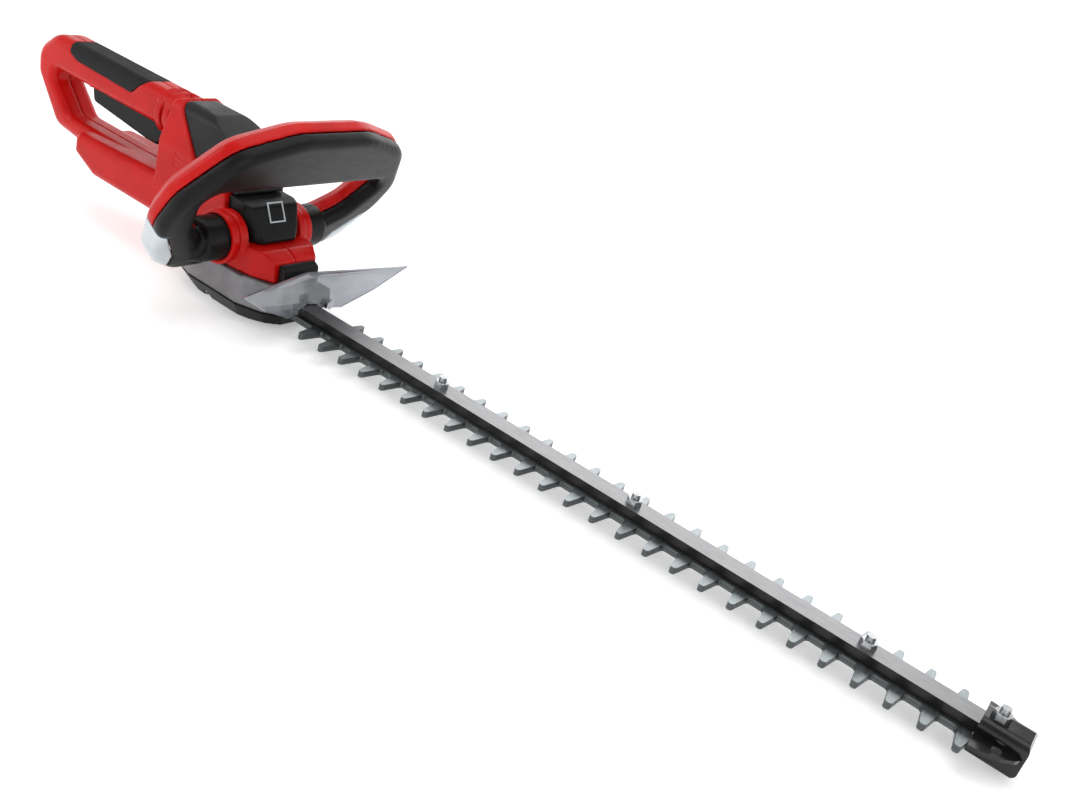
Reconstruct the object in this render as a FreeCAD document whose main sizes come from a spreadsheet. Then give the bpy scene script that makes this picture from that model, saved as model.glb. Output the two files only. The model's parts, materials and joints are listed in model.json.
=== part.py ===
import FreeCAD, Part
import math
import os
import Sketcher
from FreeCAD import Placement, Rotation, Vector
from fcgear import involute
from fcgear.fcgear import FCWireBuilder

# Cordless hedge trimmer, modelled in millimetres.
# Tool axes: +X runs along the guide bar to its tip, +Y to the left of a person holding the tool, +Z up.
# Every piece is drawn about the first tooth (x = 0), the middle of the tool (y = 0) and the middle of the
# blade pair (z = 0). The frame_x and frame_z cells then move all pieces so that the origin lies under the
# middle of the whole tool, on the surface that it stands on.

doc = FreeCAD.newDocument("hedge_trimmer")
sheet = doc.addObject("Spreadsheet::Sheet", "dims")

DIMENSIONS = [
    ("frame_x", -98.23, "shift from tool axes to the row frame, along the bar"),
    ("frame_z", 14.0, "shift from tool axes to the row frame, upward"),
    ("tooth_pitch", 21.5, "spacing of the teeth"),
    ("near_teeth", 26, "teeth on the right side"),
    ("far_teeth", 25, "teeth on the left side, half a pitch ahead"),
    ("tooth_reach", 30.0, "tooth tip to the middle of the blade"),
    ("tooth_root", 8.5, "width of a tooth at its root"),
    ("tooth_tip", 4.4, "width of a tooth at its tip"),
    ("spine_half", 11.5, "half width of the blade's spine"),
    ("spine_end", 541.0, "front end of the blade's spine"),
    ("blade_thick", 2.4, "thickness of each blade"),
    ("upper_blade_base", 1.3, "underside of the upper blade"),
    ("lower_blade_base", -1.3, "underside of the lower blade"),
    ("throw", 5.3, "eccentricity of each crank disc"),
    ("disc_radius", 10.0, "crank disc"),
    ("window_gap", 0.5, "room round the discs' sweep inside the blade windows"),
    ("yoke_wall", 5.0, "metal round each blade window"),
    ("bar_width", 16.5, "guide bar"),
    ("bar_base", 4.0, "underside of the guide bar"),
    ("bar_top", 10.8, "top of the guide bar"),
    ("bar_wall", 2.0, "sheet of the guide bar channel"),
    ("bar_rear", -50.0, "rear end of the guide bar"),
    ("bar_front", 556.0, "front end of the guide bar"),
    ("stud_radius", 3.0, "studs that hold the blades to the bar"),
    ("bush_radius", 4.0, "spacer bushes in the blade slots"),
    ("rivet_x", -24.0, "rivet that holds the blades behind the hand shield"),
    ("stud_first", 118.0, "first stud"),
    ("stud_spacing", 174.5, "spacing of the studs"),
    ("tip_stud", 550.0, "stud through the tip guard"),
    ("crank_x", -70.9, "crank axis"),
    ("motor_x", -95.1, "motor axis"),
    ("gear_module", 0.8, "gear tooth size"),
    ("gear_teeth", 50, "crank gear"),
    ("pinion_teeth", 10, "motor pinion"),
    ("gear_base", 12.0, "underside of the crank gear"),
    ("gear_thick", 6.0, "thickness of the crank gear"),
    ("crank_radius", 4.0, "crank shaft"),
    ("run_clear", 0.05, "running clearance on the radius"),
    ("case_top", 24.0, "top of the gear case"),
    ("case_half", 38.0, "half width of the gear case"),
    ("belly", -14.0, "underside of the belly plate"),
    ("motor_radius", 18.5, "motor can"),
    ("motor_base", 27.0, "lower end of the motor can"),
    ("motor_height", 40.0, "length of the motor can"),
    ("rotor_radius", 1.6, "motor shaft"),
    ("grip_half", 17.0, "half width of the rear grip"),
    ("body_half", 31.0, "half width of the motor housing"),
    ("shell_wall", 2.5, "wall of the plastic shells"),
    ("foot_half", 31.0, "half width of the battery foot"),
    ("foot_base", 26.0, "underside of the battery foot"),
    ("grip_top", 122.0, "top of the rear grip"),
    ("rear_end", -376.0, "rear end of the tool"),
    ("bail_lean", 32.0, "lean of the front handle from upright, degrees"),
    ("bail_x", -120.5, "where the plane of the front handle meets the blade plane"),
    ("bail_front", 7.0, "front face of the front handle ahead of its plane"),
    ("bail_split", -5.0, "joint between the two shells of the front handle"),
    ("bail_back", -21.0, "rear face of the front handle"),
    ("bail_wall", 3.0, "wall of the front handle shells"),
    ("collar_y", 35.0, "outer face of the housing at the front handle's feet"),
    ("trigger_x", -299.0, "rear trigger's pin"),
    ("trigger_z", 97.0, "rear trigger's pin"),
    ("pin_radius", 2.0, "rear trigger's pin"),
    ("shield_thick", 2.5, "hand shield"),
    ("guard_front", 571.5, "front end of the tip guard"),
    ("guard_base", -9.0, "underside of the tip guard"),
    ("hang_radius", 3.5, "hanging holes in the tip guard"),
]

for row, (alias, value, meaning) in enumerate(DIMENSIONS, start=1):
    sheet.set(f"A{row}", meaning)
    sheet.set(f"B{row}", str(value))
    sheet.setAlias(f"B{row}", alias)
doc.recompute()


def dim(alias):
    """Value of one driving dimension."""
    return float(sheet.get(alias))


SUB_PARTS = []


def bind(item, **cells):
    """Bind properties of an object to formulas over the spreadsheet."""
    for prop, formula in cells.items():
        item.setExpression(prop, formula)


def finish(item, label):
    """Name a sub-part and place it in the row frame."""
    item.Label = label
    own = item.Placement.Base
    item.setExpression(".Placement.Base.x", f"dims.frame_x + {own.x:.4f}")
    item.setExpression(".Placement.Base.z", f"dims.frame_z + {own.z:.4f}")
    SUB_PARTS.append(item)
    return item


def finish_shape(label, shape):
    """Make a sub-part of a shape built with Part's functions."""
    item = doc.addObject("Part::Feature", label)
    item.Shape = shape
    return finish(item, label)


# ---------------------------------------------------------------- shapes made with Part's functions

def rounded_wire(points, radii, to_space):
    """Closed wire through 2-D corner points, each rounded by its radius (0 keeps the corner sharp)."""
    corners = [Vector(px, py, 0) for px, py in points]
    if not isinstance(radii, (list, tuple)):
        radii = [radii] * len(points)
    runs = []
    for index, corner in enumerate(corners):
        radius = radii[index]
        back = (corners[index - 1] - corner).normalize()
        ahead = (corners[(index + 1) % len(corners)] - corner).normalize()
        turn = back.getAngle(ahead)
        if radius == 0 or abs(turn - math.pi) < 0.01:
            runs.append((corner, None, corner))
            continue
        reach = radius / math.tan(turn / 2)
        start = corner + back * reach
        end = corner + ahead * reach
        bisector = (back + ahead).normalize()
        centre = corner + bisector * (radius / math.sin(turn / 2))
        middle = centre - bisector * radius
        runs.append((start, middle, end))
    edges = []
    for index, (start, middle, end) in enumerate(runs):
        last_end = runs[index - 1][2]
        if last_end.distanceToPoint(start) > 1e-6:
            edges.append(Part.makeLine(to_space(last_end), to_space(start)))
        if middle is not None:
            edges.append(Part.Arc(to_space(start), to_space(middle), to_space(end)).toShape())
    return Part.Wire(edges)


def slab_z(points, low, high, radii=0):
    """Outline in X and Y, raised from z = low to z = high."""
    wire = rounded_wire(points, radii, lambda p: Vector(p.x, p.y, low))
    return Part.Face(wire).extrude(Vector(0, 0, high - low))


def slab_y(points, low, high, radii=0):
    """Outline in X and Z, raised from y = low to y = high."""
    wire = rounded_wire(points, radii, lambda p: Vector(p.x, low, p.y))
    return Part.Face(wire).extrude(Vector(0, high - low, 0))


def slab_x(points, low, high, radii=0):
    """Outline in Y and Z, raised from x = low to x = high."""
    wire = rounded_wire(points, radii, lambda p: Vector(low, p.x, p.y))
    return Part.Face(wire).extrude(Vector(high - low, 0, 0))


def block(x_low, x_high, y_low, y_high, z_low, z_high):
    """Box between two corners."""
    corner = Vector(x_low, y_low, z_low)
    return Part.makeBox(x_high - x_low, y_high - y_low, z_high - z_low, corner)


def post(radius, x, y, z_low, z_high):
    """Upright cylinder."""
    return Part.makeCylinder(radius, z_high - z_low, Vector(x, y, z_low))


def rod_y(radius, x, z, y_low, y_high):
    """Cylinder across the tool."""
    return Part.makeCylinder(radius, y_high - y_low, Vector(x, y_low, z), Vector(0, 1, 0))


def mirrored(points):
    """Add the other half of an outline that is given for positive second coordinates."""
    return points + [(first, -second) for first, second in reversed(points) if second != 0]


def both_sides(shape):
    """A shape together with its mirror image across the middle plane."""
    return [shape, shape.mirror(Vector(0, 0, 0), Vector(0, 1, 0))]


def main_solid(shape):
    """Largest solid of a shape, without loose slivers."""
    return max(shape.Solids, key=lambda solid: solid.Volume)


def rounded_edges(shape, radius, wanted):
    """Fillet the edges whose middle point passes the wanted test."""
    edges = [edge for edge in shape.Edges if wanted(edge)]
    return shape.makeFillet(radius, edges)


def edge_middle(edge):
    """Middle point of an edge."""
    first, last = edge.ParameterRange
    return edge.valueAt((first + last) / 2)


# ---------------------------------------------------------------- Part Design helpers

def origin_feature(body, role):
    """One of a body's own origin planes or axes."""
    for feature in body.Origin.OriginFeatures:
        if feature.Role == role:
            return feature
    raise ValueError(role)


def sketch_on(body, name, role, height=None):
    """Sketch on an origin plane of its own body, lifted by a formula over the spreadsheet."""
    sketch = body.newObject("Sketcher::SketchObject", name)
    sketch.AttachmentSupport = [(origin_feature(body, role), "")]
    sketch.MapMode = "FlatFace"
    if height is not None:
        sketch.setExpression(".AttachmentOffset.Base.z", height)
    return sketch


def add_outline(sketch, points):
    """Closed outline of straight lines joined end to end."""
    first = sketch.GeometryCount
    count = len(points)
    for index, point in enumerate(points):
        following = points[(index + 1) % count]
        sketch.addGeometry(Part.LineSegment(Vector(*point, 0), Vector(*following, 0)), False)
    for index in range(count):
        here = first + index
        following = first + (index + 1) % count
        sketch.addConstraint(Sketcher.Constraint("Coincident", here, 2, following, 1))
    return first


def add_rectangle(sketch, low_x, high_x, half_y):
    """Rectangle about the X axis; its three sizes are formulas over the spreadsheet."""
    first = add_outline(sketch, [(-2, -1), (2, -1), (2, 1), (-2, 1)])
    for side, direction in ((0, "Horizontal"), (1, "Vertical"), (2, "Horizontal"), (3, "Vertical")):
        sketch.addConstraint(Sketcher.Constraint(direction, first + side))
    spans = (("low_x", "DistanceX", 1, low_x), ("high_x", "DistanceX", 2, high_x))
    for name, kind, end, formula in spans:
        index = sketch.addConstraint(Sketcher.Constraint(kind, -1, 1, first, end, -2.0 if end == 1 else 2.0))
        sketch.renameConstraint(index, f"{name}_{first}")
        sketch.setExpression(f"Constraints.{name}_{first}", formula)
    for name, corner, place in (("low_y", 0, -1.0), ("high_y", 2, 1.0)):
        index = sketch.addConstraint(Sketcher.Constraint("DistanceY", -1, 1, first + corner, 1, place))
        sketch.renameConstraint(index, f"{name}_{first}")
        sign = "-" if place < 0 else ""
        sketch.setExpression(f"Constraints.{name}_{first}", f"{sign}({half_y})")


def add_circle(sketch, centre_x, radius, centre_y="0 mm"):
    """Circle whose centre and radius are formulas over the spreadsheet."""
    index = sketch.addGeometry(Part.Circle(Vector(1, 1, 0), Vector(0, 0, 1), 1), False)
    for name, kind, formula in (("cx", "DistanceX", centre_x), ("cy", "DistanceY", centre_y)):
        number = sketch.addConstraint(Sketcher.Constraint(kind, -1, 1, index, 3, 1.0))
        sketch.renameConstraint(number, f"{name}_{index}")
        sketch.setExpression(f"Constraints.{name}_{index}", formula)
    number = sketch.addConstraint(Sketcher.Constraint("Radius", index, 1.0))
    sketch.renameConstraint(number, f"radius_{index}")
    sketch.setExpression(f"Constraints.radius_{index}", radius)


def pad(body, sketch, name, length, both_ways=False):
    """Pad a sketch by a length formula."""
    feature = body.newObject("PartDesign::Pad", name)
    feature.Profile = sketch
    feature.setExpression("Length", length)
    feature.Midplane = both_ways
    return feature


def pocket(body, sketch, name, length, reverse=True):
    """Cut a sketch's area out of the body, towards the sketch's own side when reverse is set."""
    feature = body.newObject("PartDesign::Pocket", name)
    feature.Profile = sketch
    feature.setExpression("Length", length)
    feature.Reversed = reverse
    return feature


def row_of(body, feature, name, count, length):
    """Repeat a feature along X."""
    pattern = body.newObject("PartDesign::LinearPattern", name)
    pattern.Originals = [feature]
    pattern.Direction = (origin_feature(body, "X_Axis"), [""])
    pattern.setExpression("Occurrences", count)
    pattern.setExpression("Length", length)
    body.Tip = pattern
    return pattern

# ---------------------------------------------------------------- red housing shells

WALL = dim("shell_wall")
GRIP = dim("grip_half")
BODY = dim("body_half")
FOOT = dim("foot_half")
CASE_TOP = dim("case_top")
GRIP_TOP = dim("grip_top")
REAR = dim("rear_end")
MOTOR_X = dim("motor_x")
CRANK_X = dim("crank_x")
SPLIT_GAP = 0.1

COLUMN_REAR = -186.0
LOOP_FLOOR = 58.0
GRIP_UNDER = 92.0
COVER_REAR_TOP = (-180.0, 125.0)
COVER_FRONT_LOW = (-130.0, 76.0)
NOSE_HEEL = (-102.0, 76.0)

loop_outline = [(-155, GRIP_TOP), (-354, GRIP_TOP), (REAR, 104), (REAR + 2, 82), (-342, 44), (-290, 38), (-155, 38)]
loop_radii = [0, 20, 20, 14, 16, 60, 0]
hole_outline = [(-349, GRIP_UNDER), (-349, 82), (-324, LOOP_FLOOR), (COLUMN_REAR, LOOP_FLOOR),
                (COLUMN_REAR, GRIP_UNDER)]
hole_radii = [4, 6, 12, 8, 6]
foot_outline = [(-294, 56), (-294, 38), (-266, dim("foot_base")), (-160, dim("foot_base")), (-150, 60), (-190, 60)]
column_outline = [(COLUMN_REAR, dim("foot_base")), (COLUMN_REAR, GRIP_TOP), COVER_REAR_TOP, COVER_FRONT_LOW,
                  NOSE_HEEL, (-100, 46), (-57, 46), (-46, 41), (-44, CASE_TOP), (-150, CASE_TOP)]
front_plan = [(-190, BODY), (-96, BODY), (-84, 34), (-62, 31), (-42, 20)]


def loop_solid(inset):
    """Rear loop handle; the inset gives the space inside its walls."""
    half = GRIP - inset
    outer = slab_y(loop_outline, -half, half, loop_radii)
    hole = slab_y(hole_outline, -half - 1, half + 1, hole_radii)
    if inset > 0:
        core = shrunk_profile(loop_outline, loop_radii, hole_outline, hole_radii, inset, half)
        return rounded_sides(core, half, 5.0)
    outer = rounded_sides(outer, half, 9.0)
    ring = outer.cut(hole)
    return rounded_edges(ring, 7.0, lambda e: on_side(e, half) and hole.isInside(edge_middle(e), 0.01, True))


def on_side(edge, half):
    """Whether an edge lies on one of the two side faces."""
    return abs(abs(edge_middle(edge).y) - half) < 0.01


def rounded_sides(shape, half, radius):
    """Round all edges of the two side faces."""
    return rounded_edges(shape, radius, lambda e: on_side(e, half))


def shrunk_profile(outline, radii, hole, hole_round, inset, half):
    """Slab between an outline moved inward and a hole moved outward by the wall thickness."""
    outer_wire = rounded_wire(outline, radii, lambda p: Vector(p.x, -half, p.y))
    outer = Part.Face(outer_wire.makeOffset2D(-inset)).extrude(Vector(0, 2 * half, 0))
    if hole is None:
        return outer
    hole_wire = rounded_wire(hole, hole_round, lambda p: Vector(p.x, -half - 1, p.y))
    return outer.cut(Part.Face(hole_wire.makeOffset2D(inset)).extrude(Vector(0, 2 * half + 2, 0)))


def tapered(points, inset, radius):
    """Long block along the tool whose section narrows upward, given by the left half of the section."""
    half = [(across - inset, up - (inset if up > 100 else 0)) for across, up in points]
    section = half + [(-across, up) for across, up in reversed(half)]
    inner = [0] + [radius] * (len(half) - 1)
    return slab_x(section, -200, -40, inner + inner[::-1])


def plan_limit(points, inset, low, high):
    """Upright slab that narrows the front of the housing in plan."""
    outline = [(px, py - inset) for px, py in points]
    return slab_z(mirrored(outline), low, high)


foot_outer = rounded_edges(slab_y(foot_outline, -FOOT, FOOT, [4, 4, 6, 0, 0, 14]), 8.0,
                           lambda e: abs(abs(edge_middle(e).y) - FOOT) < 0.01 and edge_middle(e).x < -165
                           and edge_middle(e).z > 30)
foot_inner = shrunk_profile(foot_outline, [4, 4, 6, 0, 0, 14], None, None, WALL, FOOT - WALL)
column_radii = [0, 0, 0, 0, 4, 0, 3, 3, 0, 0]
column_section = [(34.5, 0), (34.5, 60), (31, 90), (21, 125.5)]
column_outer = slab_y(column_outline, -40, 40, column_radii)
column_outer = column_outer.common(plan_limit(front_plan, 0, 0, 140))
column_outer = column_outer.common(tapered(column_section, 0, 12))
column_inner = shrunk_profile(column_outline, column_radii, None, None, WALL, 40)
column_inner = column_inner.common(plan_limit(front_plan, WALL, 0, 140))
column_inner = column_inner.common(tapered(column_section, WALL, 10))
ring_outer = Part.makeCylinder(20.5, 7, Vector(-209, 0, 104), Vector(1, 0, 0))
ring_outer = ring_outer.fuse(Part.makeCylinder(20.5, 7, Vector(-199, 0, 104), Vector(1, 0, 0)))

collar_root = rod_y(21.0, -92.5, 46.0, 27.2, dim("collar_y")).common(block(-130, -60, 0, 40, 30, 70))

shell_outer = loop_solid(0).fuse([foot_outer, column_outer, ring_outer] + both_sides(collar_root))
shell_inner = loop_solid(WALL).fuse([foot_inner, column_inner])
grip_passage = block(-215, -178, -12, 12, 94, 119)
foot_passage = block(-200, -165, -20, 20, 30, 56)
shell_inner = shell_inner.fuse([grip_passage, foot_passage])
motor_window = post(dim("motor_radius") + 1.0, MOTOR_X, 0, CASE_TOP, 100)
battery_recess = block(-296, -166, -25, 25, 20, 34)
battery_rails = []
for side in (-1, 1):
    rail_low = side * 25.5
    rail_high = side * 22.0
    rail = block(-280, -170, min(rail_low, rail_high), max(rail_low, rail_high), 27, 29.5)
    battery_rails.append(rail.common(foot_outer))
trigger_slot = block(-308, -203, -8.5, 8.5, 80, 100)
terminal_slot = block(-193.1, -171.9, -16.1, 16.1, 30, 40)
vent_slots = []
for rear_x, rear_z, length in ((-165.8, 87.6, 11.0), (-167.2, 83.0, 18.0), (-164.6, 78.0, 22.0)):
    vent = slab_y([(0, 0), (length, -0.32 * length), (length, -0.32 * length - 1.6), (0, -1.6)], -40, 40)
    vent.translate(Vector(rear_x, 0, rear_z))
    vent_slots.append(vent)
recess_roof = block(-292, -166, -27.5, 27.5, 30, 36.5).common(foot_outer)

PIN_R = dim("pin_radius")
PIN_X = dim("trigger_x")
PIN_Z = dim("trigger_z")
SWITCH_X = -254.0
motor_ribs = [column_inner.common(block(-140, -50, -40, 40, low, low + 2)) for low in (36, 50)]
board_ledge = block(-178, -132, 18, 29.5, 59.5, 61.9)
switch_rib = block(SWITCH_X - 9, SWITCH_X + 9, 5.05, 15.5, 106, 113)
pin_boss = rod_y(4.2, PIN_X, PIN_Z, 8.6, 15.5)
cover_cut = slab_y([(-181, 125.8), (-130, 75.85), (-129.8, 76.05), (-95, 76.05), (-95, 140), (-181, 140)], -40, 40)

housing = shell_outer.cut(shell_inner).cut(cover_cut)
housing = housing.fuse([recess_roof] + motor_ribs)
for rib in (board_ledge, switch_rib, pin_boss):
    housing = housing.fuse(both_sides(rib))
housing = housing.cut([battery_recess, trigger_slot, terminal_slot, motor_window] + vent_slots)
housing = housing.cut(rod_y(PIN_R + 0.02, PIN_X, PIN_Z, -12.1, 12.1))
housing = housing.fuse(battery_rails)

pad_outline = [(-332, GRIP_TOP + 3), (-328, 113), (-318, 109), (-244, 107), (-226, GRIP_TOP + 3)]
PAD_DEEP = 1.5
pad_core = shrunk_profile(loop_outline, loop_radii, None, None, PAD_DEEP, GRIP - PAD_DEEP)
pad_core = rounded_sides(pad_core, GRIP - PAD_DEEP, 7.5)
pad_recess = slab_y(pad_outline, -20, 20, [0, 4, 8, 6, 0]).cut(pad_core)
housing = housing.cut(pad_recess)

screw_posts = [(-347, 66), (-305, 48), (-214, 48), (-150, 50), (-336, 112), (-214, 112), (-118, 60), (-52, 32)]
for post_x, post_z in screw_posts:
    housing = housing.fuse(rod_y(3.6, post_x, post_z, -14, 14))
    housing = housing.cut(rod_y(1.6, post_x, post_z, -12, 12))
    housing = housing.cut(rod_y(3.1, post_x, post_z, 11, 45))

spring_seat = block(-226, -218, -4, 4, 110, 120.5)
housing = housing.fuse(spring_seat)
right_half = housing.common(block(-400, 0, -60, -SPLIT_GAP / 2, 0, 160))
left_half = housing.common(block(-400, 0, SPLIT_GAP / 2, 60, 0, 160))
finish_shape("housing_right", main_solid(right_half))
finish_shape("housing_left", main_solid(left_half))
pad_shape = pad_recess.common(rounded_sides(slab_y(loop_outline, -GRIP, GRIP, loop_radii), GRIP, 9.0))
finish_shape("grip_pad", main_solid(pad_shape))


# ---------------------------------------------------------------- covers, gear case and belly

cover_outline = [COVER_REAR_TOP, (-142, 123.5), (-114, 111), (-98, 88), (-96, 76), COVER_FRONT_LOW]
cover_radii = [2, 14, 12, 4, 2, 2]
cover_plan = [(-184, 26), (-176, 29), (-130, 29), (-94, 24)]
cover = slab_y(cover_outline, -32, 32, cover_radii).common(plan_limit(cover_plan, 0, 60, 140))
cover_section = [(29, 60), (29, 88), (20, 124.2)]
cover = cover.common(tapered(cover_section, 0, 12))
cover_room = shrunk_profile(cover_outline, cover_radii, None, None, WALL, 40)
cover_room = cover_room.common(plan_limit(cover_plan, WALL, 60, 140))
cover_room = cover_room.fuse(slab_y([(-174, 108), (-130, 70), (-101, 70), (-101, 84), (-120, 100)], -20, 20))
cover_room = cover_room.common(tapered(cover_section, WALL, 10))
finish_shape("top_cover", main_solid(cover.cut(cover_room).cut(block(-200, -60, -40, 40, 60, 76.3))))

nose_outline = [(-101.8, 75.7), (-88, 75.7), (-79, 74), (-64, 46.3), (-99.8, 46.3)]
nose_plan = [(-104, 27), (-84, 27), (-70, 20), (-62, 12)]
nose = slab_y(nose_outline, -30, 30, [0, 3, 5, 3, 0]).common(plan_limit(nose_plan, 0, 40, 90))
motor_top = dim("motor_base") + dim("motor_height")
nose = nose.cut([post(dim("motor_radius") + 0.6, MOTOR_X, 0, 40, motor_top + 0.6), post(9.0, MOTOR_X, 0, 60, 73)])
finish_shape("nose_cover", main_solid(nose))
front_block = slab_y([(-45.5, 41), (-37.5, 37), (-36.5, CASE_TOP + 0.1), (-43.5, CASE_TOP + 0.1)], -18, 18, [2, 2, 0, 0])
finish_shape("front_block", front_block)

case_plan = [(-150, 18), (-138, 33), (-122, 38), (-66, 38), (-44, 29), (-34, 19)]
case_upper_plan = [(-149, 18), (-137, 31), (-121, 35), (-66, 34.5), (-45, 25), (-37, 18)]
belly_plan = [(-140, 12), (-130, 24), (-118, 28), (-70, 28), (-46, 20), (-36, 13)]


def plan_wire(points, height):
    """Closed horizontal polygon."""
    return rounded_wire(mirrored(points), 0, lambda p: Vector(p.x, p.y, height))


def faceted(lower_plan, low, upper_plan, high):
    """Solid with flat facets between two plans of the same number of corners."""
    return Part.makeLoft([plan_wire(lower_plan, low), plan_wire(upper_plan, high)], True, True)


def inset_plan(points, inset):
    """Plan moved inward by a wall."""
    rear = points[0][0]
    front = points[-1][0]
    return [(min(max(px, rear + inset), front - inset), py - inset) for px, py in points]


CASE_WALL = 3.0
CASE_ROOF = 20.0
SEAM = 0.1
gear_case = faceted(case_plan, SEAM, case_upper_plan, CASE_TOP - 0.1)
case_room = faceted(inset_plan(case_plan, CASE_WALL), -1, inset_plan(case_upper_plan, CASE_WALL), CASE_ROOF)
bar_slot = block(-52.0, 0, -8.45, 8.45, 3.9, 11.0)
blade_mouth = block(-42, 0, -12.5, 12.5, -1.8, 4.2)
upper_bearing_seat = post(8.05, CRANK_X, 0, 19.4, CASE_TOP + 1)
lower_motor_hole = post(8.0, MOTOR_X, 0, CASE_ROOF - 1, CASE_TOP + 1)
bearing_boss = post(11.0, CRANK_X, 0, 18.8, CASE_ROOF + 0.5)
gear_case = gear_case.cut(case_room).fuse(bearing_boss)
shaft_hole = post(5.0, CRANK_X, 0, 18, CASE_TOP + 1)
gear_case = gear_case.cut([upper_bearing_seat, shaft_hole, lower_motor_hole, bar_slot, blade_mouth])
SHIELD_SCREW_Y = 16.0
SHIELD_SCREW_Z = 12.5
for side in (-1, 1):
    start = Vector(-46, side * SHIELD_SCREW_Y, SHIELD_SCREW_Z)
    gear_case = gear_case.cut(Part.makeCylinder(2.05, 20, start, Vector(1, 0, 0)))
case_screws = [(-134, 16), (-134, -16), (-106, 28), (-106, -28)]
plate_screws = [(-95, 25), (-95, -25)]
gear_case = gear_case.fuse([post(4.0, sx, sy, SEAM, CASE_ROOF + 0.5) for sx, sy in case_screws])
gear_case = gear_case.cut([post(1.6, sx, sy, -1, 14) for sx, sy in case_screws])
gear_case = gear_case.fuse([post(4.0, sx, sy, 7.45, CASE_ROOF + 0.5) for sx, sy in plate_screws])
gear_case = gear_case.cut([post(1.6, sx, sy, 5, 16) for sx, sy in plate_screws])
finish_shape("gear_case", main_solid(gear_case))

belly_plate = faceted(belly_plan, dim("belly"), case_plan, -SEAM)
belly_nose = slab_y([(-66, -15), (0, -15), (0, -6.5), (-20, -6.5)], -50, 50)
belly_plate = belly_plate.cut(belly_nose)
belly_room = slab_z(mirrored(inset_plan(belly_plan, 3.0)), -4.0, 1)
belly_room = belly_room.fuse(slab_z(mirrored(inset_plan(case_plan, 5.0)), -2.2, 1))
screw_bosses = [post(4.0, sx, sy, -6, -SEAM) for sx, sy in case_screws]
crank_boss = post(9.0, CRANK_X, 0, -10.5, -3.4)
belly_plate = belly_plate.cut(belly_room).fuse([crank_boss] + screw_bosses)
belly_plate = belly_plate.cut([post(6.05, CRANK_X, 0, -8.0, 0), blade_mouth])
belly_plate = belly_plate.cut([post(1.8, sx, sy, -20, 1) for sx, sy in case_screws])
belly_plate = belly_plate.cut([post(3.3, sx, sy, -20, -7.5) for sx, sy in case_screws])
finish_shape("belly_plate", main_solid(belly_plate))


# ---------------------------------------------------------------- guide bar and its plate

RIVET_X = dim("rivet_x")
STUDS = [dim("stud_first") + step * dim("stud_spacing") for step in range(3)]
TIP_STUD = dim("tip_stud")

bar = doc.addObject("PartDesign::Body", "guide_bar")
bar_sketch = sketch_on(bar, "bar_plan", "XY_Plane", "dims.bar_base")
add_rectangle(bar_sketch, "dims.bar_rear", "dims.bar_front", "dims.bar_width / 2")
pad(bar, bar_sketch, "bar_pad", "dims.bar_top - dims.bar_base")
channel_sketch = sketch_on(bar, "channel_plan", "XY_Plane", "dims.bar_base")
add_rectangle(channel_sketch, "dims.bar_rear - 1", "dims.bar_front + 1", "dims.bar_width / 2 - dims.bar_wall")
pocket(bar, channel_sketch, "channel", "dims.bar_top - dims.bar_base - dims.bar_wall")
hole_sketch = sketch_on(bar, "stud_holes", "XY_Plane", "dims.bar_base")
for stud_x in [RIVET_X] + STUDS + [TIP_STUD]:
    add_circle(hole_sketch, f"{stud_x} mm", "dims.stud_radius + dims.run_clear")
pocket(bar, hole_sketch, "stud_bores", "dims.bar_top")
finish(bar, "guide_bar")

PLATE_BASE = 4.4
PLATE_TOP = 7.4
plate_plan = [(-101, 31), (-90, 31), (-76, 25), (-56, 14), (-51, 6.1), (-16, 6.1)]
plate = slab_z(mirrored(plate_plan), PLATE_BASE, PLATE_TOP)
plate = plate.cut([post(9.5, CRANK_X, 0, 0, 20), post(dim("bush_radius") + 0.05, RIVET_X, 0, 0, 20)])
plate = plate.cut([post(2.1, px, py, 0, 20) for px, py in plate_screws])
finish_shape("bar_plate", plate)

# ---------------------------------------------------------------- blades

THROW = dim("throw")
SWEEP = dim("disc_radius") + THROW + dim("window_gap")
REACH = dim("tooth_reach")


def add_obround(sketch, first_x, last_x, radius):
    """Straight slot along X with round ends."""
    up = math.pi / 2
    normal = Vector(0, 0, 1)
    rear = Part.ArcOfCircle(Part.Circle(Vector(first_x, 0, 0), normal, radius), up, 3 * up)
    front = Part.ArcOfCircle(Part.Circle(Vector(last_x, 0, 0), normal, radius), -up, up)
    low = Part.LineSegment(Vector(first_x, -radius, 0), Vector(last_x, -radius, 0))
    high = Part.LineSegment(Vector(last_x, radius, 0), Vector(first_x, radius, 0))
    first = sketch.GeometryCount
    for piece in (rear, low, front, high):
        sketch.addGeometry(piece, False)
    joints = ((0, 2, 1, 1), (1, 2, 2, 1), (2, 2, 3, 1), (3, 2, 0, 1))
    for one, one_end, other, other_end in joints:
        sketch.addConstraint(Sketcher.Constraint("Coincident", first + one, one_end, first + other, other_end))


def tooth_points(x, side):
    """Outline of one tooth on one side of the blade (side is +1 or -1)."""
    root = dim("tooth_root") / 2
    tip = dim("tooth_tip") / 2
    spine = dim("spine_half")
    half = [(root + 2.5, spine - 0.5), (root + 0.6, spine + 1.2), (root, spine + 3.5), (tip, REACH - 1.5),
            (tip - 1.0, REACH)]
    outline = [(x - px, side * py) for px, py in half]
    outline += [(x + px, side * py) for px, py in reversed(half)]
    return outline


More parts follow.
